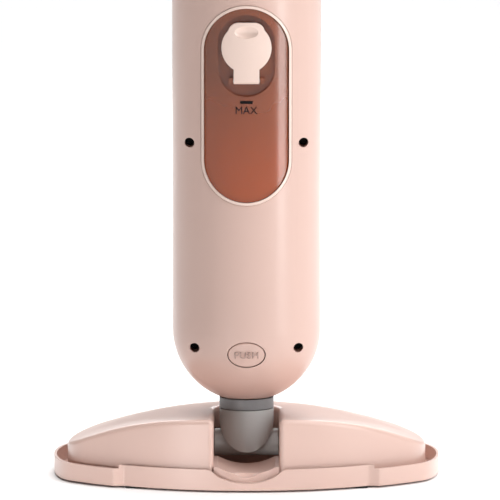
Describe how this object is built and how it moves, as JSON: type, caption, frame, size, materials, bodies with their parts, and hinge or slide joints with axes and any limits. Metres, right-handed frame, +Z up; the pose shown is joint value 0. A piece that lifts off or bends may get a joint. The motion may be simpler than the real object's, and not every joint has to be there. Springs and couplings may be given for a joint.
{
  "type": "garment steamer",
  "caption": "Upright steam mop whose cylindrical body is a detachable handheld garment steamer, with front water tank, swivel neck, mop head and glider tray.",
  "frame": {"origin": "on the surface it stands on, below the axis of the neck", "axes": "+X to the right seen from the front, -Y towards the front with tank cap and button, +Z up along pole"},
  "size_m": [0.3004, 0.2095, 1.15],
  "materials": {
    "blush_plastic": "gloss",
    "pale_blush_plastic": "satin",
    "grey_plastic": "satin",
    "dark_grey_plastic": "satin",
    "black_plastic": "matte",
    "white_plastic": "matte",
    "amber_tank": "clear tinted",
    "rubber_black": "matte",
    "silicone": "matte",
    "steel": "satin",
    "boiler_aluminium": "cast",
    "brass": "satin",
    "board_green": "matte",
    "pole_paint": "gloss",
    "print_black": "printed"
  },
  "bodies": {
    "glider": {"glider_tray": "blush_plastic", "glider_feet": "rubber_black"},
    "head": {"head_cover": "blush_plastic", "head_base": "white_plastic", "slot_floor": "blush_plastic", "barrel_bearings": "white_plastic", "steam_channel": "white_plastic", "head_hose": "silicone", "head_screws": "steel", "pad_grips": "black_plastic"},
    "barrel": {"swivel_barrel": "grey_plastic"},
    "neck": {"neck_fork": "grey_plastic", "neck_pin": "steel", "neck_collar": "dark_grey_plastic", "collar_shim": "black_plastic", "spigot_seals": "rubber_black"},
    "unit": {"front_shell": "blush_plastic", "rear_shell": "blush_plastic", "window_frame": "pale_blush_plastic", "water_tank": "amber_tank", "level_mark": "print_black", "cap_hinge_pin": "steel", "outlet_valve": "silicone", "suction_hose": "silicone", "water_pump": "black_plastic", "pressure_hose": "silicone", "boiler_lower": "boiler_aluminium", "boiler_upper": "boiler_aluminium", "boiler_gasket": "silicone", "heater_terminals": "brass", "thermostat": "steel", "thermal_fuse": "steel", "steam_hose": "silicone", "control_board": "board_green", "terminal_block": "white_plastic", "steam_nozzle": "black_plastic", "cord_gland": "dark_grey_plastic", "body_screws": "steel", "latch_spring": "steel", "rear_handle": "blush_plastic", "handle_grip": "dark_grey_plastic", "trigger_pin": "steel", "dial_switch": "black_plastic", "lamp_lens": "amber_tank"},
    "cap": {"tank_cap": "pale_blush_plastic", "cap_seal": "silicone"},
    "button": {"push_button": "blush_plastic", "latch_plate": "steel"},
    "trigger": {"steam_trigger": "dark_grey_plastic"},
    "dial": {"steam_dial": "pale_blush_plastic"},
    "catch": {"pole_catch": "dark_grey_plastic"},
    "pole": {"pole_plug": "grey_plastic", "pole_lower": "pole_paint", "pole_upper": "pole_paint", "pole_sleeve": "grey_plastic", "top_grip": "blush_plastic", "grip_cap": "dark_grey_plastic", "lower_hook": "grey_plastic", "upper_hook_ring": "grey_plastic"},
    "hook": {"upper_hook_arm": "grey_plastic"}
  },
  "joints": [
    {"name": "head_lift", "type": "slide", "parent": "glider", "child": "head", "axis": [0, 0, 1], "range_m": [0, 0.04]},
    {"name": "neck_recline", "type": "hinge", "parent": "head", "child": "barrel", "pos_m": [0, 0, 0.026], "axis": [1, 0, 0], "range_deg": [0, 24]},
    {"name": "neck_roll", "type": "hinge", "parent": "barrel", "child": "neck", "pos_m": [0, 0, 0.0376], "axis": [0, 1, 0], "range_deg": [-6, 6]},
    {"name": "unit_release", "type": "slide", "parent": "neck", "child": "unit", "axis": [0, 0, 1], "range_m": [0, 0.045]},
    {"name": "release_press", "type": "slide", "parent": "unit", "child": "button", "axis": [0, 1, 0], "range_m": [0, 0.003], "stiffness_N_per_m": 900, "springref_m": -0.003, "deforming": ["latch_spring"]},
    {"name": "cap_open", "type": "hinge", "parent": "unit", "child": "cap", "pos_m": [0, -0.0532, 0.3119], "axis": [1, 0, 0], "range_deg": [0, 110]},
    {"name": "trigger_pull", "type": "hinge", "parent": "unit", "child": "trigger", "pos_m": [0, 0.088, 0.366], "axis": [1, 0, 0], "range_deg": [0, 9], "stiffness_Nm_per_rad": 0.6, "springref_deg": -11.46},
    {"name": "dial_turn", "type": "hinge", "parent": "unit", "child": "dial", "pos_m": [0, -0.05, 0.3965], "axis": [0, -1, 0], "range_deg": [-135, 135]},
    {"name": "catch_press", "type": "slide", "parent": "unit", "child": "catch", "axis": [0, -1, 0], "range_m": [0, 0.002], "stiffness_N_per_m": 600, "springref_m": -0.002},
    {"name": "pole_release", "type": "slide", "parent": "unit", "child": "pole", "axis": [0, 0, 1], "range_m": [0, 0.045]},
    {"name": "hook_turn", "type": "hinge", "parent": "pole", "child": "hook", "pos_m": [0, 0.0208, 0.985], "axis": [0, 1, 0], "range_deg": [0, 180]}
  ]
}
